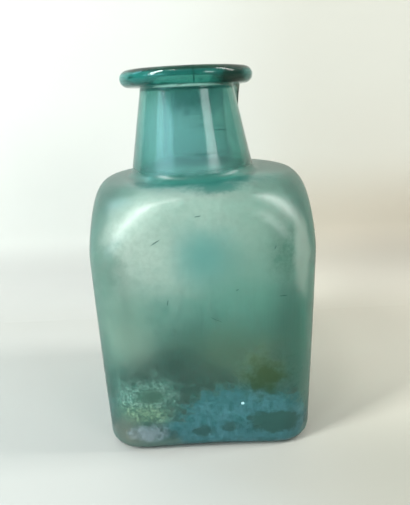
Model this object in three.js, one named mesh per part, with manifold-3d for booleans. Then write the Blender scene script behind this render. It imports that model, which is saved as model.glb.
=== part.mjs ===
// A square bottle of blown blue-green glass with a broad reeded strap handle, about 15 cm tall.
// Millimetres, +Z up. The origin is the middle of the underside; the front faces -Y and the
// handle stands at +Y. The blown vessel is one solid and the applied handle is another.
import * as THREE from "three";
import { mergeVertices } from "three/addons/utils/BufferGeometryUtils.js";
import Module from "manifold-3d";

const wasm = await Module();
wasm.setup();

// ---- Driving dimensions -------------------------------------------------------------------

// The square body. "reach" is the distance from the axis to the middle of a side.
const BODY = {
  reach: 43.5, // at the shoulder
  footReach: 42.3, // at the foot, because the sides taper a little
  taperPower: 1.35,
  corner: 14, // radius of the upright corners, seen from above
  heel: 4, // radius of the edge round the underside
};
const SHOULDER = {
  start: 81.4, // height where the sides begin to turn in
  top: 107.7, // height where the shoulder meets the neck
  squareness: 4.9, // exponent of the superellipse it turns in along
  roundingPower: 1.45, // how late in the rise the square corners swell into a circle
};
const NECK = { footRadius: 25, topRadius: 18.7, fillet: 3.4 };
const RIM = { radius: 26.6, thickness: 6.4, top: 148.7, dip: 0.6, innerRound: 2.3 };
const WALL = { side: 2.7, shoulder: 2.8, neck: 3.3, floor: 4.8, innerHeel: 8, innerFillet: 6 };
const KICK = { radius: 30, height: 2.2 }; // the pushed-in middle of the underside

// The neck was set a little off centre and leans: shifts along X, tips in degrees.
const LEAN = {
  neckFootShift: -2.9,
  rimShift: -3.8,
  shoulderTip: 1.5, // right side up
  rimTip: 0.3,
  rimTipFront: 1.75, // front side up
};

// The strap handle, drawn up from the shoulder and bent over onto the neck under the rim.
const STRAP = {
  width: 38.5,
  thickness: 4.2,
  reeds: 7,
  reedHeight: 0.9,
  edge: 0.8, // how far its inner face stops short of each edge
  footFlare: 0.2, // share by which the strap widens where it is pressed on the shoulder
  footSwell: 0.9, // share by which it thickens there
  flareHeight: 13, // height over which both die away
  standOff: 36.2, // distance from the bottle's axis to the upright stretch
  bend: 9, // radius of the bend at the top
  crownHeight: 138.3, // middle of the level stretch under the rim
};

const JOIN_GAP = 0.3; // clearance between the handle and the vessel
const AROUND = 48; // points round a ring
const CORNER_WEIGHT = 2.5; // how much closer points lie on the corners than on the flats

const radians = THREE.MathUtils.degToRad;
const clamp01 = (x) => THREE.MathUtils.clamp(x, 0, 1);
const lerp = THREE.MathUtils.lerp;
const steps = (count) => Array.from({ length: count }, (_, i) => (i + 1) / count);

// ---- Rings and skins ----------------------------------------------------------------------

// A ring is { reach, height, corner, shift, tip, tipFront }: a rounded square, or a circle
// where corner equals reach, shifted along X and tipped about its middle.
const ring = (reach, height, corner, lean = {}) => ({
  reach,
  height,
  corner: Math.min(corner, reach),
  shift: 0,
  tip: 0,
  tipFront: 0,
  ...lean,
});

// How a ring leans in the shoulder; inward is its share of the way in, rise its share up.
const shoulderLean = (inward, rise) => ({
  shift: LEAN.neckFootShift * inward,
  tip: LEAN.shoulderTip * rise,
});

// How a ring leans in the neck, from its foot at 0 to the rim at 1.
const neckLean = (rise) => ({
  shift: lerp(LEAN.neckFootShift, LEAN.rimShift, rise),
  tip: lerp(LEAN.shoulderTip, LEAN.rimTip, rise),
  tipFront: LEAN.rimTipFront * rise,
});

// The skin's sizes, in from the outside by the walls or, for clearance, out by grow.
const outerSizes = (grow = 0) => ({
  reach: BODY.reach + grow,
  footReach: BODY.footReach + grow,
  bottom: -grow,
  heel: BODY.heel,
  corner: BODY.corner + grow,
  shoulderTop: SHOULDER.top + grow,
  neckFoot: NECK.footRadius + grow,
  neckTop: NECK.topRadius + grow,
  neckEnd: RIM.top - RIM.thickness - grow,
  fillet: NECK.fillet,
});
const innerSizes = {
  reach: BODY.reach - WALL.side,
  footReach: BODY.footReach - WALL.side,
  bottom: WALL.floor,
  heel: WALL.innerHeel,
  corner: BODY.corner - WALL.side / 2,
  shoulderTop: SHOULDER.top - WALL.shoulder,
  neckFoot: NECK.footRadius - WALL.neck,
  neckTop: NECK.topRadius - WALL.neck,
  neckEnd: RIM.top - RIM.dip - RIM.innerRound,
  fillet: WALL.innerFillet,
};

// A quarter of a superellipse, from its outer end at 0 to its top at 1.
function superellipse(t, exponent) {
  const turn = (t * Math.PI) / 2;
  const across = Math.cos(turn);
  const up = Math.sin(turn);
  const scale = Math.pow(Math.pow(across, exponent) + Math.pow(up, exponent), -1 / exponent);
  return { outward: Math.max(across * scale, 0), rise: Math.min(up * scale, 1) };
}

// Heel, side, shoulder, fillet and neck of one skin, from the bottom up.
function skinRings(s, counts) {
  const heel = steps(counts.heel).map((t) => {
    const inset = s.heel * (1 - Math.sin((t * Math.PI) / 2));
    const height = s.bottom + s.heel * (1 - Math.cos((t * Math.PI) / 2));
    return ring(s.footReach - inset, height, s.corner - inset * 0.7);
  });
  const sideFoot = s.bottom + s.heel;
  const reachAt = (t) =>
    lerp(s.footReach, s.reach, 1 - Math.pow(1 - t, BODY.taperPower));
  const side = steps(counts.side).map((t) =>
    ring(reachAt(t), lerp(sideFoot, SHOULDER.start, t), s.corner),
  );
  const throat = s.neckFoot + s.fillet;
  const shoulder = steps(counts.shoulder).map((t) => {
    const { outward, rise } = superellipse(t, SHOULDER.squareness);
    const reach = lerp(throat, s.reach, outward);
    const height = lerp(SHOULDER.start, s.shoulderTop, rise);
    const corner = lerp(s.corner, reach, Math.pow(rise, SHOULDER.roundingPower));
    return ring(reach, height, corner, shoulderLean(1 - outward, rise));
  });
  const fillet = steps(counts.fillet).map((t) => {
    const turn = (t * Math.PI) / 2;
    const radius = s.neckFoot + s.fillet * (1 - Math.sin(turn));
    const height = s.shoulderTop + s.fillet * (1 - Math.cos(turn));
    return ring(radius, height, radius, neckLean(0));
  });
  const neckStart = s.shoulderTop + s.fillet;
  const neck = steps(counts.neck).map((t) => {
    const radius = lerp(s.neckFoot, s.neckTop, t);
    return ring(radius, lerp(neckStart, s.neckEnd, t), radius, neckLean(t));
  });
  return [...heel, ...side, ...shoulder, ...fillet, ...neck];
}

// The rim, rolled over and pressed flat: underside, round outer edge and top, to its inner edge.
function rimRings(grow = 0) {
  const lean = neckLean(1);
  const half = RIM.thickness / 2 + grow;
  const middle = RIM.top - RIM.thickness / 2;
  const tubeReach = RIM.radius + grow - half;
  const circle = (radius, height) => ring(radius, height, radius, lean);
  const underside = circle(NECK.topRadius + grow + 1.4, middle - half * 0.98);
  const outside = [0, ...steps(7)].map((t) => {
    const turn = (t - 0.5) * Math.PI;
    return circle(tubeReach + half * Math.cos(turn), middle + half * Math.sin(turn));
  });
  return [underside, ...outside];
}

// The rounded inner edge of the rim, from its top down into the bore.
function mouthRings() {
  const boreRadius = innerSizes.neckTop;
  return [0, ...steps(4)].map((t) => {
    const turn = (t * Math.PI) / 2;
    const radius = boreRadius + RIM.innerRound * (1 - Math.sin(turn));
    const height = innerSizes.neckEnd + RIM.innerRound * Math.cos(turn);
    return ring(radius, height, radius, neckLean(1));
  });
}

// The underside from its middle out: a shallow dome, then the flat band the bottle stands on.
function undersideRings() {
  const dome = [0, 0.4, 0.75].map((t) => {
    const radius = KICK.radius * t;
    return ring(radius, (KICK.height * (1 + Math.cos(t * Math.PI))) / 2, radius);
  });
  const bandReach = BODY.footReach - BODY.heel;
  return [
    ...dome,
    ring(KICK.radius, 0, KICK.radius),
    ring(bandReach, 0, BODY.corner - BODY.heel * 0.7),
  ];
}

// The floor inside, from the wall in, domed over the pushed-in underside.
function floorRings() {
  const reach = innerSizes.footReach - innerSizes.heel;
  const edge = ring(reach, WALL.floor, innerSizes.corner - innerSizes.heel * 0.7);
  const dome = [0.75, 0.4, 0].map((t) => {
    const radius = KICK.radius * t;
    const rise = (KICK.height * (1 + Math.cos(t * Math.PI))) / 2;
    return ring(radius, WALL.floor + rise, radius);
  });
  return [edge, ...dome];
}

// The point a share s of the way round a ring, counted from the middle of its +X side.
function pointOnRing(r, s) {
  const quarter = Math.floor(s * 4) % 4;
  const flat = r.reach - r.corner;
  const bow = (CORNER_WEIGHT * r.corner * Math.PI) / 2;
  const along = (s * 4 - Math.floor(s * 4)) * (2 * flat + bow);
  let p;
  if (along < flat) {
    p = new THREE.Vector2(r.reach, along);
  } else if (along <= flat + bow && r.corner > 0) {
    const turn = (along - flat) / (CORNER_WEIGHT * r.corner);
    p = new THREE.Vector2(flat + r.corner * Math.cos(turn), flat + r.corner * Math.sin(turn));
  } else {
    p = new THREE.Vector2(2 * flat + bow - along, r.reach);
  }
  p.rotateAround(new THREE.Vector2(), (quarter * Math.PI) / 2);
  const height =
    r.height + p.x * Math.tan(radians(r.tip)) - p.y * Math.tan(radians(r.tipFront));
  return new THREE.Vector3(p.x + r.shift, p.y, height);
}

// A closed body through a run of rings that starts and ends on the axis.
function bodyOfRings(rings) {
  const profile = rings.map((r) => new THREE.Vector2(r.reach, r.height));
  const geometry = new THREE.LatheGeometry(profile, AROUND);
  const position = geometry.attributes.position;
  for (let i = 0; i < position.count; i++) {
    const share = Math.floor(i / rings.length) / AROUND;
    const p = pointOnRing(rings[i % rings.length], share % 1);
    position.setXYZ(i, p.x, p.y, p.z);
  }
  return geometry;
}

// ---- Solids for cutting -------------------------------------------------------------------

function solidOf(geometry) {
  const bare = geometry.clone();
  bare.deleteAttribute("normal");
  bare.deleteAttribute("uv");
  const merged = mergeVertices(bare, 1e-3);
  const mesh = new wasm.Mesh({
    numProp: 3,
    vertProperties: merged.attributes.position.array,
    triVerts: new Uint32Array(merged.index.array),
  });
  return new wasm.Manifold(mesh);
}

function geometryOf(solid) {
  const mesh = solid.getMesh();
  const geometry = new THREE.BufferGeometry();
  geometry.setAttribute("position", new THREE.BufferAttribute(mesh.vertProperties, 3));
  geometry.setIndex(new THREE.BufferAttribute(mesh.triVerts, 1));
  geometry.computeVertexNormals();
  return geometry;
}

// ---- The vessel ---------------------------------------------------------------------------

function vesselGeometry() {
  const outer = skinRings(outerSizes(), { heel: 4, side: 4, shoulder: 11, fillet: 3, neck: 3 });
  const inner = skinRings(innerSizes, { heel: 4, side: 3, shoulder: 9, fillet: 3, neck: 3 });
  return bodyOfRings([
    ...undersideRings(),
    ...outer,
    ...rimRings(),
    ...mouthRings(),
    ...inner.reverse().slice(1),
    ...floorRings(),
  ]);
}

// The vessel's outside as a solid, grown by the clearance the handle keeps to it.
function clearanceSolid() {
  const sizes = outerSizes(JOIN_GAP);
  const outer = skinRings(sizes, { heel: 2, side: 2, shoulder: 11, fillet: 3, neck: 3 });
  const top = RIM.top + JOIN_GAP;
  return solidOf(
    bodyOfRings([
      ring(0, sizes.bottom, 0),
      ring(sizes.footReach - sizes.heel, sizes.bottom, sizes.corner),
      ...outer,
      ...rimRings(JOIN_GAP),
      ring(0, top, 0, neckLean(1)),
    ]),
  );
}

// ---- The handle ---------------------------------------------------------------------------

// The strap's section, seen along the path: its depth along X with the reeded outer face at
// -X, and its width along Y.
function strapSection() {
  const perReed = 4;
  const count = STRAP.reeds * perReed;
  const half = STRAP.thickness / 2;
  const innerReach = STRAP.width / 2 - STRAP.edge;
  const shape = new THREE.Shape();
  shape.moveTo(half, -innerReach);
  shape.lineTo(half, innerReach);
  for (let i = count; i >= 0; i--) {
    const share = i / count;
    const reed = STRAP.reedHeight * Math.abs(Math.sin(share * STRAP.reeds * Math.PI));
    shape.lineTo(-half + STRAP.reedHeight - reed, (share - 0.5) * STRAP.width);
  }
  return shape;
}

// Up from inside the shoulder, over the bend, and level into the neck.
function strapPath() {
  const foot = SHOULDER.top - 4;
  const springing = STRAP.crownHeight - STRAP.bend;
  const path = new THREE.CurvePath();
  const corner = new THREE.Vector3(0, STRAP.standOff, STRAP.crownHeight);
  const bendStart = new THREE.Vector3(0, STRAP.standOff, springing);
  const bendEnd = new THREE.Vector3(0, STRAP.standOff - STRAP.bend, STRAP.crownHeight);
  path.add(new THREE.LineCurve3(new THREE.Vector3(0, STRAP.standOff, foot), bendStart));
  path.add(new THREE.QuadraticBezierCurve3(bendStart, corner, bendEnd));
  path.add(
    new THREE.LineCurve3(bendEnd, new THREE.Vector3(0, NECK.topRadius - 3, STRAP.crownHeight)),
  );
  return path;
}

// Widens and thickens the strap towards the shoulder it is pressed onto.
function flareFoot(geometry) {
  const position = geometry.attributes.position;
  for (let i = 0; i < position.count; i++) {
    const rise = clamp01((position.getZ(i) - SHOULDER.top) / STRAP.flareHeight);
    const near = Math.pow(1 - rise, 2);
    const y = position.getY(i) - STRAP.standOff;
    position.setX(i, position.getX(i) * (1 + STRAP.footFlare * near));
    position.setY(i, STRAP.standOff + y * (1 + STRAP.footSwell * near));
  }
  return geometry;
}

function handleGeometry() {
  const strap = new THREE.ExtrudeGeometry(strapSection(), {
    extrudePath: strapPath(),
    steps: 22,
    bevelEnabled: false,
  });
  return geometryOf(solidOf(flareFoot(strap)).subtract(clearanceSolid()).simplify(0.02));
}

// ---- The bottle ---------------------------------------------------------------------------

function glass(color) {
  return new THREE.MeshStandardMaterial({
    color,
    roughness: 0.25,
    metalness: 0,
    transparent: true,
    opacity: 0.6,
    side: THREE.DoubleSide,
  });
}

const vessel = new THREE.Mesh(vesselGeometry(), glass(0x6fae9c));
vessel.name = "vessel";

const handle = new THREE.Mesh(handleGeometry(), glass(0x3f8f80));
handle.name = "handle";

const bottle = new THREE.Group();
bottle.add(vessel, handle);

export default bottle;
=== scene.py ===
# %% [markdown]
# # A square bottle of old blue-green glass
#
# The real bottle was blown and flattened into four sides, its rim was rolled in, and a broad
# reeded strap was drawn on hot behind the neck. Centuries in the ground dulled the glass and
# left milky, blue and rusty patches near the foot.
#
# The imported model gives the true sizes. This script dresses it: two meshes take the place of
# the plain solids, and two glass materials give them their colour, depth and weathering, with
# some painted shade and sheen. The paper under the bottle carries painted shadow.

# %% Load the frame and note its box
import math
from collections import namedtuple

import bpy
import numpy as np
from mathutils import Matrix, Vector


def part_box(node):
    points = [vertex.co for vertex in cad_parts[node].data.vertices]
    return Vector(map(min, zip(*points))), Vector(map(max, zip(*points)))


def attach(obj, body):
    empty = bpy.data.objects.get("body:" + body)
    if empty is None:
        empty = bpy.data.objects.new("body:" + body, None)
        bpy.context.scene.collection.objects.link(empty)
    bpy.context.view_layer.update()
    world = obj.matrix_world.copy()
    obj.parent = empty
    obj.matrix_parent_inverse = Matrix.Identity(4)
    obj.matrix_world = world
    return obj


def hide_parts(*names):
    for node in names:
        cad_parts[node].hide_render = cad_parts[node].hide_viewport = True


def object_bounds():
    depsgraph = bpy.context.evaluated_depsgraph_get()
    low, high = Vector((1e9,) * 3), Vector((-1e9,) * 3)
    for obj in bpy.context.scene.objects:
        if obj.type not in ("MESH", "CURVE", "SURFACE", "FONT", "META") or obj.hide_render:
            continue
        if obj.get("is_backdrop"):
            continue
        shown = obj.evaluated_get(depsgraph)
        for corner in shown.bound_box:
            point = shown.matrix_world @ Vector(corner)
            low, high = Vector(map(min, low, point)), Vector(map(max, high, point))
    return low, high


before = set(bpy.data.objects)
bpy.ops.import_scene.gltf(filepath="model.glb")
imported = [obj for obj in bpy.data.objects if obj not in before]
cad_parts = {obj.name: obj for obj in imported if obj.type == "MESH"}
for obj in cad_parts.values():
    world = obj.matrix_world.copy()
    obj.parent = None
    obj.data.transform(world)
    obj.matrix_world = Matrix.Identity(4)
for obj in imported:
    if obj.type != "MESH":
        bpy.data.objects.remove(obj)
cad_low, cad_high = (tuple(corner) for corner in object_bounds())
cad_size = [high - low for low, high in zip(cad_low, cad_high)]
vessel_low, vessel_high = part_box("vessel")
handle_low, handle_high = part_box("handle")
print("whole object, mm:", [round(side * 1000, 1) for side in cad_size])
print("handle, mm:", [round((b - a) * 1000, 1) for a, b in zip(handle_low, handle_high)])

MM = 0.001
HEIGHT = vessel_high.z
REACH = vessel_high.x  # from the axis to the middle of a side, at the shoulder

# %% [markdown]
# ## Node maths written as Python
#
# A shader or a Geometry Nodes tree can be built by hand, node by node, but maths on sockets
# soon fills pages. One small class wraps an output socket and overloads the operators, so an
# expression on values adds its own Math nodes. Every other node comes from one method.

# %% A wrapped socket and the graph that makes nodes
class Value:
    """An output socket that maths can be written on."""

    def __init__(self, graph, socket):
        self.graph = graph
        self.socket = socket

    def other(self, name):
        """Another output of the same node."""
        return Value(self.graph, self.socket.node.outputs[name])

    def math(self, operation, *others):
        return self.graph.math(operation, self, *others)

    def __add__(self, other):
        return self.graph.math("ADD", self, other)

    def __radd__(self, other):
        return self.graph.math("ADD", other, self)

    def __sub__(self, other):
        return self.graph.math("SUBTRACT", self, other)

    def __rsub__(self, other):
        return self.graph.math("SUBTRACT", other, self)

    def __mul__(self, other):
        return self.graph.math("MULTIPLY", self, other)

    def __rmul__(self, other):
        return self.graph.math("MULTIPLY", other, self)

    def __truediv__(self, other):
        return self.graph.math("DIVIDE", self, other)

    def __pow__(self, other):
        return self.graph.math("POWER", self, other)


class Graph:
    """Adds nodes to one tree."""

    def __init__(self, tree):
        self.tree = tree
        tree.nodes.clear()

    def node(self, kind, settings=None, inputs=None, out=0):
        """A node of any kind: its settings first, then the values or links of its sockets."""
        made = self.tree.nodes.new(kind)
        for name, setting in (settings or {}).items():
            setattr(made, name, setting)
        for key, given in (inputs or {}).items():
            if isinstance(given, Value):
                self.tree.links.new(given.socket, made.inputs[key])
            else:
                made.inputs[key].default_value = given
        return Value(self, made.outputs[out]) if made.outputs else made

    def math(self, operation, *operands):
        return self.node("ShaderNodeMath", {"operation": operation}, dict(enumerate(operands)))

    def vector(self, x, y, z):
        return self.node("ShaderNodeCombineXYZ", inputs={0: x, 1: y, 2: z})

    def split(self, vector):
        x = self.node("ShaderNodeSeparateXYZ", inputs={0: vector})
        return x, x.other("Y"), x.other("Z")


# %% [markdown]
# ## Geometry Nodes trees
#
# A tree has named inputs, so its sizes can be read and changed in one place. The modifier's
# inputs are set by each socket's identifier, and the finished mesh is taken from the evaluated
# object, so no live modifier is left on the piece.

# %% Build a tree, run it once, keep the plain mesh
KINDS = {int: "NodeSocketInt", float: "NodeSocketFloat"}


def geometry_tree(name, sizes):
    """A Geometry Nodes tree with a geometry input, one input for each named size, and a graph."""
    tree = bpy.data.node_groups.new(name, "GeometryNodeTree")
    graph = Graph(tree)
    tree.interface.new_socket("Geometry", in_out="INPUT", socket_type="NodeSocketGeometry")
    tree.interface.new_socket("Geometry", in_out="OUTPUT", socket_type="NodeSocketGeometry")
    for label, size in sizes.items():
        tree.interface.new_socket(label, in_out="INPUT", socket_type=KINDS[type(size)])
    start = graph.node("NodeGroupInput")
    inputs = {label: start.other(label) for label in ["Geometry", *sizes]}
    return tree, graph, inputs


def end_tree(graph, geometry, material):
    """Every tree ends by realizing its instances and setting the material."""
    real = graph.node("GeometryNodeRealizeInstances", inputs={"Geometry": geometry})
    smooth = graph.node("GeometryNodeSetShadeSmooth", inputs={"Geometry": real})
    dressed = graph.node(
        "GeometryNodeSetMaterial", inputs={"Geometry": smooth, "Material": material}
    )
    graph.node("NodeGroupOutput", inputs={"Geometry": dressed})


def run_tree(source, tree, sizes, name):
    """The mesh that a tree makes from a source object, as an object of its own."""
    modifier = source.modifiers.new(tree.name, "NODES")
    modifier.node_group = tree
    sockets = {item.name: item.identifier for item in tree.interface.items_tree}
    for label, size in sizes.items():
        modifier[sockets[label]] = size
    bpy.context.view_layer.update()
    graph = bpy.context.evaluated_depsgraph_get()
    mesh = bpy.data.meshes.new_from_object(source.evaluated_get(graph))
    mesh.name = name
    bpy.data.objects.remove(source)
    return mesh


def shown(name, mesh):
    """Puts a mesh in the scene as an object at the origin."""
    made = bpy.data.objects.new(name, mesh)
    bpy.context.scene.collection.objects.link(made)
    return made


# %% [markdown]
# ## The camera
#
# It stands close, about two and a half body widths away, with its eye level near the rim, and
# looks down a little. The bottle therefore seems to narrow towards the foot, though its sides
# are nearly parallel. It is also held a touch crooked.

# %% Place the camera
CAMERA_HEIGHT = 0.957 * HEIGHT
CAMERA_DISTANCE = 220.0 * MM
CAMERA_SIDEWAYS = -0.9 * MM
LOOK_DOWN = math.radians(18.13)
LOOK_RIGHT = math.radians(0.5)
ROLL = math.radians(2.32)
FOCAL_LENGTH = 36.9


def aim(heading, down, roll):
    """The rotation of a camera that looks along +Y, turned right, tipped down and rolled."""
    flat = Vector((math.sin(heading), math.cos(heading), 0))
    side = Vector((math.cos(heading), -math.sin(heading), 0))
    ahead = flat * math.cos(down) + Vector((0, 0, -math.sin(down)))
    up = flat * math.sin(down) + Vector((0, 0, math.cos(down)))
    right = side * math.cos(roll) - up * math.sin(roll)
    top = side * math.sin(roll) + up * math.cos(roll)
    return Matrix((right, top, -ahead)).transposed().to_4x4()


lens = bpy.data.cameras.new("camera")
lens.lens = FOCAL_LENGTH
lens.clip_start = 0.01
camera = bpy.data.objects.new("camera", lens)
place = Vector((CAMERA_SIDEWAYS, -CAMERA_DISTANCE, CAMERA_HEIGHT))
camera.matrix_world = Matrix.Translation(place) @ aim(LOOK_RIGHT, LOOK_DOWN, ROLL)
bpy.context.scene.collection.objects.link(camera)
bpy.context.scene.camera = camera
print("camera at, mm:", [round(c * 1000) for c in camera.location])

# %% [markdown]
# ## The vessel as a run of rings
#
# Every level of the bottle is a rounded square or a circle, so the whole skin can be told as a
# list of rings: up the outside, over the rolled rim and down the inside. A ring says how far
# it reaches, how high it lies, the radius of its corners, and how it is shifted and tipped,
# because the neck was set a little off centre by hand.

# %% Driving sizes of the vessel
FOOT_REACH = REACH - 1.2 * MM
CORNER = 14.0 * MM
HEEL = 4.0 * MM
SHOULDER_START = 81.4 * MM
SHOULDER_TOP = 107.7 * MM
SQUARENESS = 4.9  # exponent of the shoulder's curve: 2 is round, more is squarer
ROUNDING = 1.45  # how late the corners open into the neck's circle
TAPER = 1.35  # exponent of the sides' curve from the foot to the shoulder
CORNER_SHARE = 0.7  # how much of the heel's inset its corners follow
NECK_FOOT, NECK_TOP = 25.0 * MM, 18.7 * MM
FILLET = 3.4 * MM
RIM_RADIUS, RIM_THICKNESS = 26.6 * MM, 6.4 * MM
RIM_TOP = 148.7 * MM
RIM_DIP, RIM_INNER_ROUND = 0.6 * MM, 2.3 * MM
RIM_ROOT = 1.4 * MM  # where the rolled rim starts, out from the neck
WALL, SHOULDER_WALL, NECK_WALL, FLOOR = 2.7 * MM, 2.8 * MM, 3.3 * MM, 4.8 * MM
INNER_HEEL, INNER_FILLET = 8.0 * MM, 6.0 * MM
KICK_RADIUS, KICK_HEIGHT = 30.0 * MM, 2.2 * MM
NECK_SHIFT, RIM_SHIFT = -2.9 * MM, -3.8 * MM
SHOULDER_TIP, RIM_TIP, RIM_TIP_FRONT = (math.radians(a) for a in (1.5, 0.3, 1.75))

# %% [markdown]
# The solid behind this piece has plain flat sides. On the real bottle the glass sank a little
# as it cooled, so each side dishes inwards and the edge of the foot lifts off the table between
# the corners. Both are added here, where a fine mesh can carry them.

# %% Rings, and how they lean
DISH, DISH_CURVE = 0.7 * MM, 0.7
LIFT = 0.9 * MM
Ring = namedtuple("Ring", "reach height corner shift tip tip_front dish lift")


def mix(a, b, share):
    return a + (b - a) * share


def ring(reach, height, corner, shift=0.0, tip=0.0, tip_front=0.0, dish=0.0, lift=0.0):
    """A ring that neither leans nor dishes unless it is told to."""
    return Ring(reach, height, min(corner, reach), shift, tip, tip_front, dish, lift)


def neck_lean(rise):
    """How a ring leans in the neck, from its foot at 0 to the rim at 1."""
    return {
        "shift": mix(NECK_SHIFT, RIM_SHIFT, rise),
        "tip": mix(SHOULDER_TIP, RIM_TIP, rise),
        "tip_front": RIM_TIP_FRONT * rise,
    }


def shares(count):
    """Equal steps that end at 1."""
    return [(i + 1) / count for i in range(count)]


def superellipse(share, exponent):
    """A quarter of a superellipse, from its outer end at 0 to its top at 1."""
    across, up = math.cos(share * math.pi / 2), math.sin(share * math.pi / 2)
    scale = (abs(across) ** exponent + up**exponent) ** (-1 / exponent)
    return max(across * scale, 0.0), min(up * scale, 1.0)


# %% One skin of the vessel, outside or inside
Skin = namedtuple(
    "Skin",
    "reach foot_reach bottom heel corner shoulder_top neck_foot neck_top neck_end fillet",
)
outer_skin = Skin(
    REACH,
    FOOT_REACH,
    0.0,
    HEEL,
    CORNER,
    SHOULDER_TOP,
    NECK_FOOT,
    NECK_TOP,
    RIM_TOP - RIM_THICKNESS,
    FILLET,
)
inner_skin = Skin(
    REACH - WALL,
    FOOT_REACH - WALL,
    FLOOR,
    INNER_HEEL,
    CORNER - WALL / 2,
    SHOULDER_TOP - SHOULDER_WALL,
    NECK_FOOT - NECK_WALL,
    NECK_TOP - NECK_WALL,
    RIM_TOP - RIM_DIP - RIM_INNER_ROUND,
    INNER_FILLET,
)


def heel_rings(s, count):
    """The rounded edge between the underside and the sides."""
    made = []
    for t in shares(count):
        inset = s.heel * (1 - math.sin(t * math.pi / 2))
        height = s.bottom + s.heel * (1 - math.cos(t * math.pi / 2))
        corner = s.corner - CORNER_SHARE * inset
        made.append(ring(s.foot_reach - inset, height, corner, lift=LIFT * (1 - 0.5 * t)))
    return made


def side_rings(s, count):
    """The four sides, which spread a little towards the shoulder and dish inwards."""
    made = []
    for t in shares(count):
        reach = mix(s.foot_reach, s.reach, 1 - (1 - t) ** TAPER)
        height = mix(s.bottom + s.heel, SHOULDER_START, t)
        dish = DISH * math.sin(math.pi * t) ** DISH_CURVE
        made.append(ring(reach, height, s.corner, dish=dish, lift=LIFT * 0.5 * (1 - t) ** 6))
    return made


def shoulder_rings(s, count):
    """The shoulder, where the square turns into the neck's circle."""
    made = []
    throat = s.neck_foot + s.fillet
    for t in shares(count):
        outward, rise = superellipse(t, SQUARENESS)
        reach = mix(throat, s.reach, outward)
        height = mix(SHOULDER_START, s.shoulder_top, rise)
        corner = mix(s.corner, reach, rise**ROUNDING)
        shift, tip = NECK_SHIFT * (1 - outward), SHOULDER_TIP * rise
        made.append(ring(reach, height, corner, shift, tip))
    return made


def neck_rings(s, fillet_count, count):
    """The soft bend at the neck's foot, then the neck itself."""
    made = []
    for t in shares(fillet_count):
        radius = s.neck_foot + s.fillet * (1 - math.sin(t * math.pi / 2))
        height = s.shoulder_top + s.fillet * (1 - math.cos(t * math.pi / 2))
        made.append(ring(radius, height, radius, **neck_lean(0)))
    for t in shares(count):
        radius = mix(s.neck_foot, s.neck_top, t)
        height = mix(s.shoulder_top + s.fillet, s.neck_end, t)
        made.append(ring(radius, height, radius, **neck_lean(t)))
    return made


def skin_rings(s):
    """One whole skin, from the heel to the top of the neck."""
    return [
        *heel_rings(s, 8),
        *side_rings(s, 44),
        *shoulder_rings(s, 44),
        *neck_rings(s, 8, 24),
    ]


# %% Rim, mouth, underside and floor
def rim_rings(count=26):
    """The rolled rim, half a turn from under it to the top of it."""
    half = RIM_THICKNESS / 2
    middle = RIM_TOP - half
    lean = neck_lean(1)
    start = NECK_TOP + RIM_ROOT
    # The crease at the neck lies a hair above the roll's lowest point.
    made = [ring(start, middle - 0.98 * half, start, **lean)]
    for i in range(count + 1):
        turn = (i / count - 0.5) * math.pi
        radius = RIM_RADIUS - half + half * math.cos(turn)
        made.append(ring(radius, middle + half * math.sin(turn), radius, **lean))
    return made


def mouth_rings(count=8):
    """The rounded edge of the mouth, from the top of the rim into the neck."""
    made = []
    for t in [0.0, *shares(count)]:
        turn = t * math.pi / 2
        radius = inner_skin.neck_top + RIM_INNER_ROUND * (1 - math.sin(turn))
        height = inner_skin.neck_end + RIM_INNER_ROUND * math.cos(turn)
        made.append(ring(radius, height, radius, **neck_lean(1)))
    return made


def dome(share):
    """The height of the pushed-in underside, from its middle at 0 to its edge at 1."""
    return KICK_HEIGHT * (1 + math.cos(share * math.pi)) / 2


def underside_rings(count=14):
    """The underside: a low dome and the flat band that the bottle stands on."""
    middle = [i / count for i in range(count + 1)]
    made = [ring(KICK_RADIUS * t, dome(t), KICK_RADIUS * t) for t in middle]
    band = outer_skin.foot_reach - HEEL
    made.append(ring(mix(KICK_RADIUS, band, 0.5), 0.0, KICK_RADIUS * 0.6, lift=LIFT / 2))
    made.append(ring(band, 0.0, CORNER - CORNER_SHARE * HEEL, lift=LIFT))
    return made


def floor_rings(count=14):
    """The floor inside, which follows the dome under it."""
    edge = inner_skin.foot_reach - INNER_HEEL
    made = [ring(edge, FLOOR, inner_skin.corner - CORNER_SHARE * INNER_HEEL)]
    for t in [1 - i / count for i in range(1, count + 1)]:
        made.append(ring(KICK_RADIUS * t, FLOOR + dome(t), KICK_RADIUS * t))
    return made


inside_down = skin_rings(inner_skin)[::-1][1:]
vessel_rings = [
    *underside_rings(),
    *skin_rings(outer_skin),
    *rim_rings(),
    *mouth_rings(),
    *inside_down,
    *floor_rings(),
]
print("the vessel is told in", len(vessel_rings), "rings")

# %% [markdown]
# ## Spinning the rings into a skin
#
# A lathe only makes circles, so the skin is made by Geometry Nodes instead. The rings become
# a chain of points that carry their numbers as attributes. The tree lays out a grid with one
# row for each ring, reads that ring's numbers by the row's index, and moves every grid point to
# its place on the rounded square. Merging by distance closes the seam and the two poles.

# %% The chain of points that carries the rings
def ring_chain(name, rings):
    """One point for each ring, with the ring's numbers as its attributes."""
    points = [(0, 0, r.height) for r in rings]
    mesh = bpy.data.meshes.new(name)
    mesh.from_pydata(points, [(i, i + 1) for i in range(len(points) - 1)], [])
    for field in Ring._fields:
        layer = mesh.attributes.new(field, "FLOAT", "POINT")
        layer.data.foreach_set("value", [getattr(r, field) for r in rings])
    return shown(name, mesh)


# %% The tree that places a grid point on its ring
def at_row(graph, geometry, row, field):
    """A ring's number, read from the chain by the row's index."""
    named = graph.node(
        "GeometryNodeInputNamedAttribute", {"data_type": "FLOAT"}, {"Name": field}
    )
    return graph.node(
        "GeometryNodeSampleIndex",
        {"data_type": "FLOAT", "domain": "POINT"},
        {"Geometry": geometry, "Value": named, "Index": row},
    )


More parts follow.
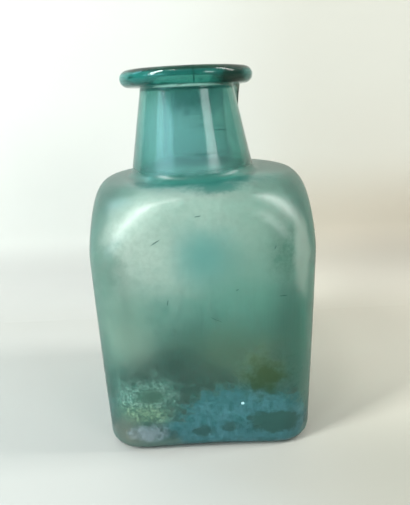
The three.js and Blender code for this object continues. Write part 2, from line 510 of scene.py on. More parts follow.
def on_rounded_square(g, share, reach, corner, weight):
    """x and y of the point a share of the way round, with closer points on the corners."""
    quarter = (share * 4).math("FLOOR")
    flat = reach - corner
    bow = corner * weight * (math.pi / 2)
    along = (share * 4 - quarter) * (flat * 2 + bow)
    first = along.math("MINIMUM", flat)
    turn = (along - flat).math("MAXIMUM", 0.0).math("MINIMUM", bow) / (corner * weight)
    last = (along - flat - bow).math("MAXIMUM", 0.0)
    x = flat + corner * turn.math("COSINE") - last
    y = first + corner * turn.math("SINE")
    from_middle = x.math("MINIMUM", y) / flat
    sunk = (1 - from_middle.math("MINIMUM", 1.0) ** 2) ** 2
    c = (quarter * (math.pi / 2)).math("COSINE")
    s = (quarter * (math.pi / 2)).math("SINE")
    return x * c - y * s, x * s + y * c, sunk


def spin_tree(sizes, material):
    """Lays out the grid, puts each point on its ring, and closes and shakes the skin."""
    tree, g, inputs = geometry_tree("spin rings into a skin", sizes)
    chain = inputs["Geometry"]
    around = inputs["Around"]
    count = g.node(
        "GeometryNodeAttributeDomainSize", {"component": "MESH"}, {"Geometry": chain}
    )
    grid = g.node(
        "GeometryNodeMeshGrid", inputs={"Vertices X": count, "Vertices Y": around + 1}
    )
    index = g.node("GeometryNodeInputIndex")
    row = (index / (around + 1)).math("FLOOR")
    share = (index - row * (around + 1)) / around
    share = share.math("FRACT")
    r = {field: at_row(g, chain, row, field) for field in Ring._fields}
    x, y, sunk = on_rounded_square(
        g, share, r["reach"], r["corner"], inputs["Corner weight"]
    )
    squeeze = 1 - r["dish"] * sunk / r["reach"]
    x, y = x * squeeze, y * squeeze
    z = r["height"] + x * r["tip"].math("TANGENT") - y * r["tip_front"].math("TANGENT")
    place = g.vector(x + r["shift"], y, z + r["lift"] * sunk)
    moved = g.node("GeometryNodeSetPosition", inputs={"Geometry": grid, "Position": place})
    closed = g.node(
        "GeometryNodeMergeByDistance", inputs={"Geometry": moved, "Distance": 1e-6}
    )
    outward = g.node("GeometryNodeFlipFaces", inputs={"Mesh": closed})
    wavy = waves(g, outward, inputs)
    end_tree(g, wavy, material)
    return tree


# %% [markdown]
# Hand-blown glass is never quite even. A broad noise moves both skins a fraction of a
# millimetre, each in its own way, so light bends through the wall as it does through old glass.

# %% Uneven skins
STRETCH = 0.45  # the waves are drawn out along the bottle's height
STILL_FOOT = 6 * MM  # they fade out below this height, so the bottle stands flat


def waves(g, geometry, inputs):
    """Moves the skin in and out along its own normals."""
    x, y, z = g.split(g.node("GeometryNodeInputPosition"))
    unevenness = g.node(
        "ShaderNodeTexNoise",
        {"noise_dimensions": "4D"},
        {
            "Vector": g.vector(x, y, z * STRETCH),
            "W": inputs["Seed"],
            "Scale": inputs["Waves per metre"],
            "Detail": 1.5,
        },
    )
    normal = g.node("GeometryNodeInputNormal")
    amount = (unevenness - 0.5) * inputs["Wave height"] * 2
    above_foot = (z / STILL_FOOT).math("MINIMUM", 1.0)
    offset = g.node(
        "ShaderNodeVectorMath",
        {"operation": "SCALE"},
        {0: normal, "Scale": amount * above_foot},
    )
    return g.node("GeometryNodeSetPosition", inputs={"Geometry": geometry, "Offset": offset})


def keep_inside(mesh, low, high):
    """Brings any point that the waves pushed past the solid's box back onto it."""
    points = np.empty(len(mesh.vertices) * 3, np.float32)
    mesh.vertices.foreach_get("co", points)
    points = np.clip(points.reshape(-1, 3), np.array(low), np.array(high))
    mesh.vertices.foreach_set("co", points.ravel())
    mesh.update()


# %% [markdown]
# ## The strap handle
#
# The handle was pulled from a separate gather of hot glass, combed into reeds, set down on
# the shoulder and folded onto the neck under the rim. A strap that follows a path is what
# Curve to Mesh is for. The reeds come from one formula on the section, so their number and
# depth are two inputs. The strap spreads where it was set down and narrows where it meets the
# neck.

# %% Driving sizes of the strap
STRAP_WIDTH = 38.5 * MM
STRAP_THICKNESS = 4.2 * MM
STRAP_STAND_OFF = 36.2 * MM
STRAP_BEND = 9.0 * MM
STRAP_CROWN = 142.5 * MM
CROWN_REACH = 24 * MM  # the strap widens over this height below its crown
PINCH_START, PINCH_DEPTH = 30 * MM, 11 * MM  # it narrows over this depth, towards the neck
SQUARE_ENDS, SOFT_EDGES = 0.45, 7.0  # exponents of the section's outline
strap_sizes = {
    "Width": STRAP_WIDTH,
    "Thickness": STRAP_THICKNESS,
    "Reeds": 7,
    "Reed height": 0.9 * MM,
    "Foot flare": 0.2,
    "Foot swell": 0.9,
    "Flare height": 13.0 * MM,
    "Crown flare": 0.06,
    "Crown pinch": 0.3,
    "Wave height": 0.25 * MM,
    "Seed": 4.0,
}


def strap_path():
    """The middle line of the strap: up from inside the shoulder, over the bend, into the neck."""
    line = bpy.data.curves.new("strap path", "CURVE")
    line.dimensions = "3D"
    spline = line.splines.new("BEZIER")
    spline.bezier_points.add(3)
    springing = STRAP_CROWN - STRAP_BEND
    pull = 0.55 * STRAP_BEND
    stops = [
        ((0, STRAP_STAND_OFF, SHOULDER_TOP - 4 * MM), (0, 0, 8 * MM)),
        ((0, STRAP_STAND_OFF, springing), (0, 0, pull)),
        ((0, STRAP_STAND_OFF - STRAP_BEND, STRAP_CROWN), (0, -pull, 0)),
        ((0, NECK_TOP - 3 * MM, STRAP_CROWN), (0, -3 * MM, 0)),
    ]
    for point, (place, pull_out) in zip(spline.bezier_points, stops):
        place, pull_out = Vector(place), Vector(pull_out)
        point.co = place
        point.handle_left = place - pull_out
        point.handle_right = place + pull_out
    return shown("strap path", line)


# %% The strap's section and the tree
def strap_section(g, inputs):
    """A closed curve: the reeded face for the first half of its length, the plain one after."""
    ring_curve = g.node(
        "GeometryNodeCurvePrimitiveCircle", {"mode": "RADIUS"}, {"Resolution": 168, "Radius": 1.0}
    )
    s = g.node("GeometryNodeSplineParameter")
    turn = s * (2 * math.pi)
    c, up = turn.math("COSINE"), turn.math("SINE")
    across = c.math("ABSOLUTE") ** SQUARE_ENDS * c.math("SIGN")
    edge = (1 - across.math("ABSOLUTE") ** SOFT_EDGES).math("MAXIMUM", 0.0) ** 0.5
    outside = up.math("GREATER_THAN", 0.0)
    wave = ((across * 0.5 + 0.5) * math.pi * inputs["Reeds"]).math("SINE").math("ABSOLUTE")
    crest = inputs["Thickness"] * 0.5 - inputs["Reed height"] * (1 - wave)
    plain = inputs["Thickness"] * -0.5
    depth = (crest * outside + plain * (1 - outside)) * edge
    place = g.vector(across * inputs["Width"] * 0.5, depth, 0.0)
    return g.node("GeometryNodeSetPosition", inputs={"Geometry": ring_curve, "Position": place})


def strap_tree(sizes, material):
    """Sweeps the section along the path, then spreads, pinches and shakes it."""
    tree, g, inputs = geometry_tree("sweep a reeded strap", sizes)
    path = g.node(
        "GeometryNodeResampleCurve", inputs={"Curve": inputs["Geometry"], "Count": 110}
    )
    swept = g.node(
        "GeometryNodeCurveToMesh",
        inputs={"Curve": path, "Profile Curve": strap_section(g, inputs), "Fill Caps": True},
    )
    x, y, z = g.split(g.node("GeometryNodeInputPosition"))
    near = (1 - (z - SHOULDER_TOP) / inputs["Flare height"]).math("MAXIMUM", 0.0)
    near = near.math("MINIMUM", 1.0) ** 2
    high = ((z - STRAP_CROWN) / CROWN_REACH + 1).math("MAXIMUM", 0.0)
    joined = ((PINCH_START - y) / PINCH_DEPTH).math("MAXIMUM", 0.0).math("MINIMUM", 1.0)
    wider = x * (1 + inputs["Foot flare"] * near + inputs["Crown flare"] * high)
    wider = wider * (1 - inputs["Crown pinch"] * joined)
    deeper = (y - STRAP_STAND_OFF) * (1 + inputs["Foot swell"] * near) + STRAP_STAND_OFF
    unevenness = g.node(
        "ShaderNodeTexNoise",
        {"noise_dimensions": "4D"},
        {"W": inputs["Seed"], "Scale": 90.0, "Detail": 1.0},
    )
    shake = (unevenness - 0.5) * inputs["Wave height"] * 2
    placed = g.vector(wider + shake, deeper + shake, z)
    flared = g.node("GeometryNodeSetPosition", inputs={"Geometry": swept, "Position": placed})
    end_tree(g, flared, material)
    return tree


# %% [markdown]
# ## Glass
#
# The glass itself is clear to the eye only where it is thin. Its colour comes from iron, all
# through its depth, so it is made with a Volume Absorption: the rim and the edges, where light
# passes through more of it, turn dark by themselves. The rim's film adds painted shade on top.

# %% A material and its coordinates
def new_material(name):
    """A material, the graph of its nodes and the place on the piece, in metres."""
    material = bpy.data.materials.new(name)
    material.use_nodes = True
    graph = Graph(material.node_tree)
    coordinates = graph.node("ShaderNodeTexCoord", out="Object")
    return material, graph, coordinates


def noise(g, vector, scale, detail=3.0, roughness=0.55, seed=0.0):
    """Cloudy noise from 0 to 1, with so many waves to the metre."""
    return g.node(
        "ShaderNodeTexNoise",
        {"noise_dimensions": "4D"},
        {"Vector": vector, "W": seed, "Scale": scale, "Detail": detail, "Roughness": roughness},
    )


def ramp(g, value, low, high):
    """0 below low, 1 above high, with soft ends."""
    return g.node(
        "ShaderNodeMapRange",
        {"interpolation_type": "SMOOTHSTEP"},
        {"Value": value, "From Min": low, "From Max": high},
    )


def blend(g, factor, a, b):
    return g.node("ShaderNodeMix", {"data_type": "RGBA"}, {0: factor, 6: a, 7: b}, out=2)


def color(r, g, b):
    return (r, g, b, 1.0)


# %% Clear glass with colour in its depth
GLASS_TINT = color(0.02, 0.60, 0.53)
GLASS_DEPTH = 305.0
SURFACE_TINT = color(0.96, 1.0, 0.98)


def glass_shader(g, roughness, normal):
    return g.node(
        "ShaderNodeBsdfPrincipled",
        inputs={
            "Base Color": SURFACE_TINT,
            "Roughness": roughness,
            "Transmission Weight": 1.0,
            "IOR": 1.5,
            "Normal": normal,
        },
    )


def film_shader(g, tone, shine, normal):
    """The dull skin of weathered glass."""
    return g.node(
        "ShaderNodeBsdfPrincipled",
        inputs={
            "Base Color": tone,
            "Roughness": 0.5,
            "Specular IOR Level": shine,
            "Normal": normal,
        },
    )


def finish_glass(g, amount, clear, dull):
    """Mixes the film over the clear glass and gives the glass its depth."""
    surface = g.node("ShaderNodeMixShader", inputs={0: amount, 1: clear, 2: dull})
    depth = g.node(
        "ShaderNodeVolumeAbsorption", inputs={"Color": GLASS_TINT, "Density": GLASS_DEPTH}
    )
    g.node("ShaderNodeOutputMaterial", inputs={"Surface": surface, "Volume": depth})


# %% [markdown]
# ## Weathering
#
# Buried glass slowly turns to a thin film of its own decay. Here the film is a second shader
# over the clear glass, and the amount of it is the factor of a Mix Shader. Each patch is an
# ellipsoid in the bottle's own space whose edge is broken up by noise. A patch has a colour
# and an amount, and it is laid over what is already there. Five textures serve all the patches,
# because textures are the slowest part of a material.
# Some patches are not decay but painted shade, sheen and light, and each says so where it is
# laid.

# %% Layers of film
SCRATCH_WIDTH = 0.44 * MM


class Film:
    """The colour and amount of the weathering, built up patch by patch."""

    def __init__(self, g, place, tone, amount):
        self.g = g
        self.x, self.y, self.z = g.split(place)
        self.tone = tone
        self.amount = amount
        self.ragged = noise(g, place, 260.0, detail=5.0, roughness=0.65, seed=3.0) - 0.5
        self.mottle = noise(g, place, 420.0, detail=4.0, roughness=0.6, seed=11.0) - 0.5
        self.speckle = noise(g, place, 750.0, detail=1.0, roughness=0.6, seed=13.0) - 0.5
        self.broad = noise(g, place, 70.0, detail=3.0, seed=5.0) - 0.5
        self.grains = g.node(
            "ShaderNodeTexVoronoi", {"feature": "F1"}, {"Vector": place, "Scale": 1000.0}
        )

    def patch(self, centre, radii, soft=0.3, ragged=0.6, broad=0.6):
        """1 inside an ellipsoid given in millimetres, 0 outside, with a shaken edge."""
        parts = [
            ((axis - c * MM) / (r * MM)) ** 2.0
            for axis, c, r in zip((self.x, self.y, self.z), centre, radii)
        ]
        distance = (parts[0] + parts[1] + parts[2]).math("SQRT")
        distance = distance + self.ragged * ragged * 2 + self.broad * broad * 2
        return ramp(self.g, 1 - distance, -soft, soft)

    def scratch(self, x, z, length, tilt, back=-38):
        """A fine line on the front, tilted by so many degrees, that stops at a depth."""
        c, s = math.cos(math.radians(tilt)), math.sin(math.radians(tilt))
        along = ((self.x - x * MM) * c + (self.z - z * MM) * s) / (length / 2 * MM)
        across = ((self.z - z * MM) * c - (self.x - x * MM) * s) / (SCRATCH_WIDTH / 2)
        across = across + self.ragged * 3
        distance = (along ** 2.0 + across ** 2.0).math("SQRT")
        return ramp(self.g, 1 - distance, -0.3, 0.4) * self.between(self.y, -46, back)

    def between(self, axis, low, high):
        """1 where a coordinate lies between two places in millimetres."""
        inside = axis.math("GREATER_THAN", low * MM)
        return inside * axis.math("LESS_THAN", high * MM)

    def lay(self, mask, tone, amount):
        """Puts a layer over those before it, wherever its mask is above 0."""
        self.tone = blend(self.g, mask, self.tone, tone)
        self.amount = self.amount + (amount - self.amount) * mask


# %% [markdown]
# The colours of the film come first, and then the places. The upper face and the neck wear a
# pale veil, which on the upper face also carries painted sheen; the crease round the neck's foot
# carries painted shade, the rim painted shade and on its left painted light, and the foot of the
# front face has the thick patches: a ring of pale foam, blue patina, an olive stain and grey
# crusts. The other sides get fainter patches in the same colours, and a painted highlight runs
# down the front's right edge.

# %% Colours of the film
FRONT = -REACH / MM  # the front face, in millimetres
BACK = -FRONT
CLEAR_FILM = color(0.10, 0.30, 0.25)
MILK_AND_SHEEN = color(0.80, 0.93, 0.82)
THIN_MILK_AND_SHEEN = color(0.63, 0.76, 0.65)
NECK_MILK = color(0.30, 0.66, 0.70)
NECK_DULL = color(0.17, 0.42, 0.37)
SKY_FILM = color(0.24, 0.58, 0.58)
PALE_GREEN = color(0.50, 0.70, 0.56)
DARK_MARKS_AND_SHADE = color(0.06, 0.17, 0.21)
CREASE_SHADE = color(0.02, 0.165, 0.14)
UNDER_RIM_SHADE = color(0.05, 0.22, 0.20)
RIM_TEAL_AND_LIGHT = color(0.03, 0.42, 0.36)
RIM_DARK_AND_SHADE = color(0.004, 0.04, 0.028)
BLUE_DEEP = color(0.025, 0.18, 0.185)
BLUE_LIGHT = color(0.12, 0.37, 0.43)
FOAM = color(0.45, 0.78, 0.67)
FOAM_DARK = color(0.08, 0.26, 0.20)
YELLOW_FOAM = color(0.46, 0.72, 0.46)
DULL_GREEN = color(0.10, 0.26, 0.19)
YELLOW_GREEN = color(0.32, 0.52, 0.32)
OLIVE = color(0.035, 0.08, 0.012)
GREY_CRUST = color(0.035, 0.13, 0.115)
HEEL_CRUST = color(0.17, 0.30, 0.26)
BROWN_CRUST = color(0.28, 0.33, 0.26)
LAVENDER = color(0.42, 0.56, 0.62)
WHITE_SPECK = color(0.55, 0.9, 0.95)
STRAP_DARK = color(0.01, 0.06, 0.04)
STRAP_LIGHT = color(0.20, 0.36, 0.28)


# %% Veils with painted sheen, painted shade in the crease, and the rim
def veils_sheen_and_shade(film):
    """Broad milky veils on the upper face and the neck, with painted sheen on the upper face, and
    painted shade under the rim.
    """
    soft = {"soft": 0.9, "ragged": 0.25, "broad": 0.4}
    neck = ramp(film.g, film.z, 141.5 * MM, 138.5 * MM)
    curds = ramp(film.g, film.mottle + film.speckle * 0.6, -0.25, 0.25)
    milk_and_sheen = blend(film.g, curds, THIN_MILK_AND_SHEEN, MILK_AND_SHEEN)
    # Painted sheen: the glass's own milky haze, laid thicker at the upper left and the top centre
    # of the face, where the windows' glow falls.
    film.lay(film.patch((4, FRONT, 99), (44, 12, 25), **soft), milk_and_sheen, 0.22)
    film.lay(film.patch((-23, FRONT, 90), (20, 12, 25), **soft), milk_and_sheen, 0.45)
    film.lay(film.patch((-5, FRONT, 95), (11, 12, 12), **soft), milk_and_sheen, 0.33)
    film.lay(film.patch((-31, FRONT, 52), (12, 12, 15), **soft), PALE_GREEN, 0.27)
    film.lay(film.patch((1, FRONT, 83), (9, 10, 9), **soft), SKY_FILM, 0.2)
    film.lay(film.patch((2, -20, 124), (28, 16, 26), **soft) * neck, NECK_DULL, 0.2)
    film.lay(film.patch((-8, -20, 124), (17, 14, 20), **soft) * neck, NECK_MILK, 0.24)
    # Painted shade: a dark film on the front of the neck, just under the rim.
    neck_top_shade = film.patch((1, -19, 138.5), (16, 8, 6), soft=0.6, ragged=0.9)
    film.lay(neck_top_shade * ramp(film.g, film.z, 143.0 * MM, 141.5 * MM), DARK_MARKS_AND_SHADE, 0.3)


def lay_crease_shade(film):
    """Painted shade in the fold round the neck's foot, and more of it just below."""
    # Painted shade, laid as dark film in the crease and on the shoulder below it.
    fold_shade = film.patch((0, -25.5, 108.2), (28, 9, 2.5), soft=0.5, ragged=0.6)
    film.lay(fold_shade, CREASE_SHADE, 0.5)
    shade_below_fold = film.patch((8, -36, 107.2), (10, 6, 2.0), soft=0.5, ragged=0.8)
    film.lay(shade_below_fold * 0.9, CREASE_SHADE, 0.55)


def rim_film(film):
    """The rim is deep teal, streaked along its turn, with a seam near the middle, painted shade
    under it, on its right and along its top, and painted light on its left.
    """
    g = film.g
    rim = ramp(g, film.z, 141.8 * MM, 142.8 * MM)
    under = ramp(g, film.z, 140.4 * MM, 141.2 * MM)
    # Painted shade under the rim.
    film.lay(under, UNDER_RIM_SHADE, 0.4)
    film.lay(rim, RIM_TEAL_AND_LIGHT, 0.2)
    # Painted light: a lighter teal on the rim's left.
    film.lay(film.patch((-24, -14, 145), (12, 16, 7), soft=0.6) * rim, RIM_TEAL_AND_LIGHT, 0.34)
    # Painted shade on the rim's right.
    film.lay(film.patch((14, -21, 144.5), (9, 12, 5), soft=0.5) * rim, RIM_DARK_AND_SHADE, 0.75)
    along = noise(g, g.vector(film.x * 0.25, film.y * 0.25, film.z), 900.0, seed=9.0)
    film.lay(ramp(g, along, 0.52, 0.7) * rim, RIM_DARK_AND_SHADE, 0.5)
    # Painted shade along the rim's top edge.
    film.lay(ramp(g, film.z, 147.4 * MM, 148.2 * MM), RIM_DARK_AND_SHADE, 0.36)
    from_seam = (film.x + 0.7 * MM + film.ragged * 0.5 * MM).math("ABSOLUTE")
    seam = ramp(g, from_seam, 0.45 * MM, 0.2 * MM) * rim * film.between(film.y, -40, -18)
    film.lay(seam * ramp(g, film.z, 143.2 * MM, 144.2 * MM), RIM_DARK_AND_SHADE, 0.6)


# %% Patches on the front
def foot_patches(film):
    """Yellow haze, blue patina, an olive stain, grey crusts and one white speck."""
    haze = film.patch((12, FRONT, 43), (17, 14, 11), soft=0.8)
    film.lay(haze * 0.8, YELLOW_GREEN, 0.17)
    blue = film.patch((14, FRONT, 12), (30, 16, 17), soft=0.18, broad=0.5)
    patches = film.ragged * 0.6 + film.mottle * 0.5 + film.speckle * 0.4
    mottled = blend(film.g, ramp(film.g, patches, -0.2, 0.24), BLUE_DEEP, BLUE_LIGHT)
    film.lay(blue, mottled, 0.5)
    olive = film.patch((22.5, FRONT, 33), (9, 12, 8), soft=0.7, ragged=1.2)
    film.lay(olive * 0.9, OLIVE, 0.6)
    grey = film.patch((26.5, FRONT, 11.8), (11, 10, 5.2), soft=0.2)
    film.lay(grey, GREY_CRUST, 0.65)
    for x, z, size in ((8, 10, 3.6), (-3, 8.4, 4.2), (16, 14, 1.6), (19, 9.5, 1.4)):
        spot = film.patch((x, FRONT, z), (size, 6, size * 0.7), soft=0.3)
        film.lay(spot * 0.8, GREY_CRUST, 0.55)
    speck = film.patch((13.3, FRONT, 20.8), (0.7, 3, 0.7), ragged=0.1, broad=0.1)
    film.lay(speck, WHITE_SPECK, 0.9)


def foam_ring(film):
    """The ring of pale bubbles at the lower left, and the crusts under it."""
    foam = film.patch((-24, FRONT, 25.5), (11.5, 10, 8.8), soft=0.6, ragged=0.7)
    dots = ramp(film.g, film.grains, 0.6, 0.3)
    clots = ramp(film.g, film.speckle + film.mottle, -0.08, 0.12)
    bubbles = dots * 0.5 + clots * 0.5
    film.lay(foam, blend(film.g, bubbles, FOAM_DARK, FOAM), 0.45)
    hollow = film.patch((-22.5, FRONT, 25.5), (5.5, 8, 3.6), soft=0.6, ragged=0.7)
    film.lay(hollow, DULL_GREEN, 0.36)
    yellow = film.patch((-26, FRONT, 17.5), (9.5, 8, 4.4), soft=0.6, ragged=0.7)
    film.lay(yellow, blend(film.g, bubbles, DULL_GREEN, YELLOW_FOAM), 0.42)
    crust = film.patch((-33.5, -40, 9), (7, 9, 6.5), soft=0.6, ragged=0.9)
    film.lay(crust * (bubbles * 0.3 + 0.6), BROWN_CRUST, 0.45)
    lavender = film.patch((-25, FRONT, 9), (6.5, 8, 3.6), soft=0.5, ragged=1.2)
    film.lay(lavender * (bubbles * 0.3 + 0.65), LAVENDER, 0.5)


def face_marks_and_highlight(film):
    """The smudge and a painted highlight down the right edge, and wear on the left."""
    smudge = film.patch((30.5, -40, 84), (6.5, 12, 11), soft=0.7, ragged=1.0)
    film.lay(smudge * (film.speckle * 1.2 + 0.85).math("MINIMUM", 1.0), DULL_GREEN, 0.42)
    # Painted highlight: a pale strip down the right edge of the front.
    highlight_strip = film.patch((36.5, -41, 83), (2.8, 8, 15), soft=0.6, ragged=0.6)
    film.lay(highlight_strip * 0.85, MILK_AND_SHEEN, 0.28)
    left = film.patch((-36, -40, 80), (6, 10, 10), soft=0.6, ragged=1.1)
    film.lay(left * 0.6, DULL_GREEN, 0.35)


# %% Scratches
def scratches(film):
    """Knocks on the front face, tool lines round the neck, and a few pits."""
    for x, z, length, tilt in (
        (-17, 89.6, 4.0, 32),
        (-1.5, 98.5, 2.4, 8),
        (4, 58, 5.0, -28),
        (26, 86, 1.6, 70),
        (12, 70, 1.2, 20),
        (29, 67, 3.0, 4),
        (-14, 66, 2.5, 80),
    ):
        film.lay(film.scratch(x, z, length, tilt), GREY_CRUST, 0.5)
    for x, z, length, tilt in ((5, 127.6, 13, -2), (8, 125.9, 9, -3), (2, 117.5, 8, 2)):
        film.lay(film.scratch(x, z, length, tilt, back=-8), DARK_MARKS_AND_SHADE, 0.24)
    pits = film.patch((3.6, -20, 130.5), (2.6, 6, 5), soft=0.5)
    film.lay(pits * ramp(film.g, film.speckle, 0.02, 0.12), DARK_MARKS_AND_SHADE, 0.24)


# %% Fainter patches on the other sides
def side_patches(film):
    """Right, left, back and underside, in the front's colours."""
    for centre, radii, tone, amount in (
        ((BACK, 12, 18), (8, 17, 11), BLUE_DEEP, 0.3),
        ((BACK, -14, 72), (10, 14, 18), MILK_AND_SHEEN, 0.16),
        ((FRONT, -6, 16), (8, 20, 9), BLUE_LIGHT, 0.28),
        ((FRONT, 16, 62), (10, 14, 10), DULL_GREEN, 0.26),
        ((-10, BACK, 14), (22, 8, 9), YELLOW_GREEN, 0.22),
        ((14, BACK, 64), (15, 10, 18), MILK_AND_SHEEN, 0.16),
        ((0, 0, 0), (24, 18, 6), HEEL_CRUST, 0.4),
    ):
        film.lay(film.patch(centre, radii, soft=0.8, ragged=0.9, broad=1.2), tone, amount)


# %% [markdown]
# The body is worn to a fine frost, which blurs what lies behind it, while the neck and the rim
# have kept their polish. So the clear glass is rougher below the neck. A thin film with marks
# drawn upwards, as the glass was, covers everything below the rim, and it thickens at the foot.

# %% The thin film everywhere
def thin_film(g, place, cloudy):
    """The film that all the patches are laid over."""
    x, y, z = g.split(place)
    drawn = noise(g, g.vector(x, y, z * 0.06), 900.0, detail=2.0, seed=2.0)
    below_rim = ramp(g, z, 142 * MM, 141 * MM)
    amount = (cloudy * 0.05 + ramp(g, drawn, 0.4, 0.75) * 0.07 + 0.02) * below_rim
    film = Film(g, place, CLEAR_FILM, amount)
    foot = ramp(g, film.broad * 24 * MM + z, 24 * MM, 4 * MM)
    film.lay(foot * 0.5, BLUE_DEEP, 0.35)
    heel = ramp(g, film.broad * 6 * MM + z, 9 * MM, 3 * MM)
    film.lay(heel * 0.9, HEEL_CRUST, 0.5)
    return film


def fine_relief(g, place, film):
    """Tiny unevenness all over, and grains where the foot is crusted."""
    fine = noise(g, place, 600.0, seed=7.0)
    crusted = ramp(g, film.z, 34 * MM, 8 * MM) * 0.4 + 0.1
    relief = fine * 0.4 + ramp(g, film.grains, 0.3, 0.0) * crusted
    return g.node(
        "ShaderNodeBump", inputs={"Strength": 0.2, "Distance": 0.1 * MM, "Height": relief}
    )


# %% Body glass
POLISH, FROST = 0.08, 0.2
FILM_SHINE, STRAP_SHINE = 0.15, 0.5


def body_glass():
    """Frosted below, polished above, with every layer of film in its order."""
    material, g, place = new_material("weathered blue-green glass")
    cloudy = ramp(g, noise(g, place, 45.0, seed=1.0), 0.3, 0.7)
    film = thin_film(g, place, cloudy)
    veils_sheen_and_shade(film)
    lay_crease_shade(film)
    rim_film(film)
    side_patches(film)
    face_marks_and_highlight(film)
    scratches(film)
    foot_patches(film)
    foam_ring(film)
    bump = fine_relief(g, place, film)
    body = ramp(g, film.z, 119 * MM, 108 * MM)
    clear = glass_shader(g, cloudy * 0.04 + POLISH + body * FROST, bump)
    dull = film_shader(g, film.tone, FILM_SHINE, bump)
    finish_glass(g, film.amount, clear, dull)
    return material


# %% Strap glass
def strap_glass():
    """Clear and polished, but for a darker streaked film along its two edges."""
    material, g, place = new_material("reeded blue-green glass")
    relief = noise(g, place, 500.0)
    bump = g.node(
        "ShaderNodeBump", inputs={"Strength": 0.15, "Distance": 0.2 * MM, "Height": relief}
    )
    cloud = noise(g, place, 80.0, seed=6.0)
    clear = glass_shader(g, ramp(g, cloud, 0.3, 0.7) * 0.1 + 0.05, bump)
    x, y, z = g.split(place)
    edge = ramp(g, x.math("ABSOLUTE"), 16.5 * MM, 18.5 * MM)
    drawn = ramp(g, noise(g, g.vector(x, y, z * 0.05), 700.0, seed=8.0), 0.42, 0.62)
    tone = blend(g, edge, DULL_GREEN, blend(g, drawn, STRAP_DARK, STRAP_LIGHT))
    amount = ramp(g, cloud, 0.45, 0.75) * 0.12 + 0.02 + edge * 0.5
    finish_glass(g, amount, clear, film_shader(g, tone, STRAP_SHINE, bump))
    return material


body_material = body_glass()
strap_material = strap_glass()
for material in (body_material, strap_material):
    print(material.name, "has", len(material.node_tree.nodes), "nodes")

# %% [markdown]
# ## Making the two pieces
#
# The vessel needs only its rings and its tree. The strap was pressed onto the hot vessel, so
# its two ends must fit the shoulder and the neck exactly. The sure way is to run it on into
# the glass and then to cut away what lies inside, with a solid copy of the vessel's outside.

# %% Make the vessel
vessel_sizes = {
    "Around": 192,
    "Corner weight": 2.5,
    "Wave height": 0.12 * MM,
    "Waves per metre": 60.0,
    "Seed": 1.0,
}
vessel_tree = spin_tree(vessel_sizes, body_material)
vessel_chain = ring_chain("vessel rings", vessel_rings)
vessel_mesh = run_tree(vessel_chain, vessel_tree, vessel_sizes, "vessel")
keep_inside(vessel_mesh, vessel_low, vessel_high)
vessel = shown("blown_vessel", vessel_mesh)
print("vessel faces:", len(vessel_mesh.polygons), [round(v * 1000, 1) for v in vessel.dimensions])

# %% Make the strap and fit it to the vessel
# The strap sinks this far into the glass that it was pressed on, so the two read as fused.
FUSED = 0.3 * MM


def plug_rings():
    """The vessel's outside without its hollow, a little smaller all over."""
    under = outer_skin._replace(
        shoulder_top=SHOULDER_TOP - FUSED,
        neck_foot=NECK_FOOT - FUSED,
        neck_top=NECK_TOP - FUSED,
    )
    return [
        ring(0, FUSED, 0),
        *skin_rings(under),
        *rim_rings()[1:],
        ring(0, RIM_TOP, 0, **neck_lean(1)),
    ]


def cut(mesh, cutter_mesh, name):
    """The mesh with everything that lies inside the cutter taken off."""
    source, cutter = shown(name, mesh), shown("cutter", cutter_mesh)
    modifier = source.modifiers.new("trim", "BOOLEAN")
    modifier.operation, modifier.solver, modifier.object = "DIFFERENCE", "EXACT", cutter
    bpy.context.view_layer.update()
    graph = bpy.context.evaluated_depsgraph_get()
    trimmed = bpy.data.meshes.new_from_object(source.evaluated_get(graph))
    trimmed.name = name
    bpy.data.objects.remove(source)
    bpy.data.objects.remove(cutter)
    return trimmed


strap_mesh = run_tree(strap_path(), strap_tree(strap_sizes, strap_material), strap_sizes, "strap")
plug_mesh = run_tree(ring_chain("plug", plug_rings()), vessel_tree, vessel_sizes, "plug")
strap_mesh = cut(strap_mesh, plug_mesh, "reeded strap")
strap = shown("reeded_strap", strap_mesh)
print("strap faces:", len(strap_mesh.polygons), [round(v * 1000, 1) for v in strap.dimensions])

# %% Attach each piece and hide the solid it replaces
for piece, node, slot in ((vessel, "vessel", "body_glass"), (strap, "handle", "handle_glass")):
    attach(piece, "root")
    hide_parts(node)

# %% [markdown]
# ## Floor, backdrop and light
#
# The bottle stands on pale paper in front of a pale wall, and glass takes most of its look from
# what is behind it. The wall is one sheet with a bent foot, so no hard line crosses the glass.
# It is narrow, so that light from beyond it still reaches the bottle's edges.

# %% Stage
WALL_PLACE, WALL_HALF, WALL_TOP = 0.133, 0.34, 0.9
BEND = 0.045
TABLE_HALF, TABLE_FRONT, TABLE_BACK = 1.2, -1.6, 1.2
TABLE_HEIGHT = -0.2 * MM  # just under the foot, so the two don't share a plane


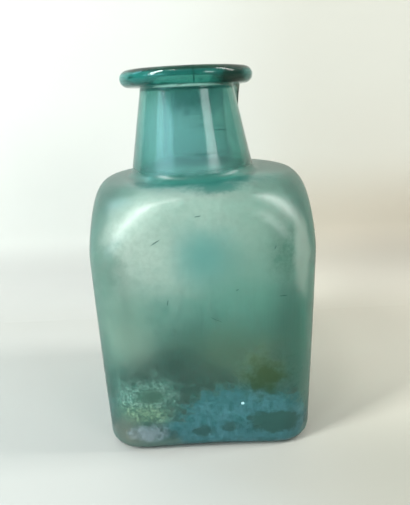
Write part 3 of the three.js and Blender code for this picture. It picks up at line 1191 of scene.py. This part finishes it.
def stage_material(name):
    """Paper with painted shadow, warm and darker on the right, more so low on the wall and at the
    front of the table, and painted shade on the whole table and in the bend.
    """
    material, g, place = new_material(name)
    x, y, z = g.split(place)
    # Painted shadow: the bottle's warm shadow on the right of the wall and the table.
    right = ramp(g, x, -0.03, 0.08)
    low = ramp(g, z, 0.1, 0.05)
    near = ramp(g, y, 0.01, -0.06)
    wall_painted_shadow = blend(g, low, color(0.63, 0.625, 0.56), color(0.56, 0.52, 0.435))
    wall = blend(g, right, color(0.71, 0.72, 0.68), wall_painted_shadow)
    # Painted shade: the table is darker than the wall, and darker still at its front right.
    table_painted_shadow = blend(g, near, color(0.52, 0.51, 0.445), color(0.35, 0.355, 0.31))
    table = blend(g, right, color(0.425, 0.44, 0.42), table_painted_shadow)
    rise = ramp(g, z, 0.0, BEND)
    tone = blend(g, rise, table, wall)
    # Painted shade: a dark band in the bend between table and wall.
    tone = blend(g, rise * (1 - rise) * 0.8, tone, color(0.0, 0.0, 0.0))
    paper = g.node("ShaderNodeBsdfPrincipled", inputs={"Base Color": tone, "Roughness": 0.6})
    behind = g.node("ShaderNodeNewGeometry", out="Backfacing")
    gone = g.node("ShaderNodeBsdfTransparent")
    surface = g.node("ShaderNodeMixShader", inputs={0: behind, 1: paper, 2: gone})
    g.node("ShaderNodeOutputMaterial", inputs={"Surface": surface})
    return material


def sheet(name, half, profile, material):
    """A flat or bent sheet: a profile of (y, z) points, drawn out sideways."""
    vertices = [(x, y, z) for y, z in profile for x in (-half, half)]
    faces = [(2 * i, 2 * i + 1, 2 * i + 3, 2 * i + 2) for i in range(len(profile) - 1)]
    mesh = bpy.data.meshes.new(name)
    mesh.from_pydata(vertices, [], faces)
    mesh.polygons.foreach_set("use_smooth", [True] * len(faces))
    made = shown(name, mesh)
    mesh.materials.append(material)
    made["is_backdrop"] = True


turns = [i / 8 * math.pi / 2 for i in range(9)]
bent = [(WALL_PLACE - BEND * (1 - math.sin(t)), BEND * (1 - math.cos(t))) for t in turns]
paper = stage_material("pale paper")
sheet("table", TABLE_HALF, [(TABLE_FRONT, TABLE_HEIGHT), (TABLE_BACK, TABLE_HEIGHT)], paper)
sheet("backdrop", WALL_HALF, [*bent, (WALL_PLACE, WALL_TOP)], paper)
print("the wall stands", round(WALL_PLACE / MM), "mm behind the bottle's axis")

# %% [markdown]
# The room has tall windows on both sides and is dark elsewhere. Glass shows what surrounds it,
# so the dark parts of the room give the rim and the edges their depth, and each window leaves
# its own streak on the neck and crescent on the shoulders. A window is placed by its bearing
# from the camera's side of the bottle and its elevation, and its size is given in degrees.

# %% Windows
TARGET = Vector((0, 0, 0.09))
WINDOW_DISTANCE = 1.3


def window(name, bearing, elevation, wide, tall, brightness, tone):
    """A bright rectangle at a bearing (right is positive) and elevation, all in degrees."""
    turn, rise = math.radians(bearing), math.radians(elevation)
    flat = Vector((math.sin(turn), -math.cos(turn), 0))
    away = flat * math.cos(rise) + Vector((0, 0, math.sin(rise)))
    light = bpy.data.lights.new(name, "AREA")
    light.shape = "RECTANGLE"
    light.size = 2 * WINDOW_DISTANCE * math.tan(math.radians(wide / 2))
    light.size_y = 2 * WINDOW_DISTANCE * math.tan(math.radians(tall / 2))
    # A pane's radiance is its power divided by its area and by pi.
    light.energy = brightness * math.pi * light.size * light.size_y
    light.color = tone
    made = bpy.data.objects.new(name, light)
    made.location = TARGET + away * WINDOW_DISTANCE
    made.rotation_euler = (-away).to_track_quat("-Z", "Y").to_euler()
    bpy.context.scene.collection.objects.link(made)
    print(name, "in mm:", round(light.size / MM), "x", round(light.size_y / MM))


window("left window", -60, 38, 11, 36, 30.0, (1.0, 1.0, 0.98))
window("left sky", -54, 11, 36, 16, 4.0, (0.5, 0.85, 1.0))
window("far left sky", -116, 38, 16, 20, 8.0, (0.45, 0.8, 1.0))
window("left skylight", -32, 61, 9, 7, 20.0, (1.0, 1.0, 1.0))
window("right lamp", 42, 18, 18, 20, 6.5, (1.0, 1.0, 1.0))
window("right window", 88, 40, 10, 34, 20.0, (1.0, 0.98, 0.95))
window("ceiling", 20, 68, 70, 44, 0.35, (1.0, 0.98, 0.95))

# %% The dim room around
ROOM_LIGHT = 0.17
world = bpy.data.worlds.new("room")
bpy.context.scene.world = world
world.use_nodes = True
room = Graph(world.node_tree)
sky = room.node(
    "ShaderNodeBackground", inputs={"Color": color(1.0, 0.98, 0.93), "Strength": ROOM_LIGHT}
)
room.node("ShaderNodeOutputWorld", inputs={"Surface": sky})
bpy.context.scene.view_settings.view_transform = "Standard"
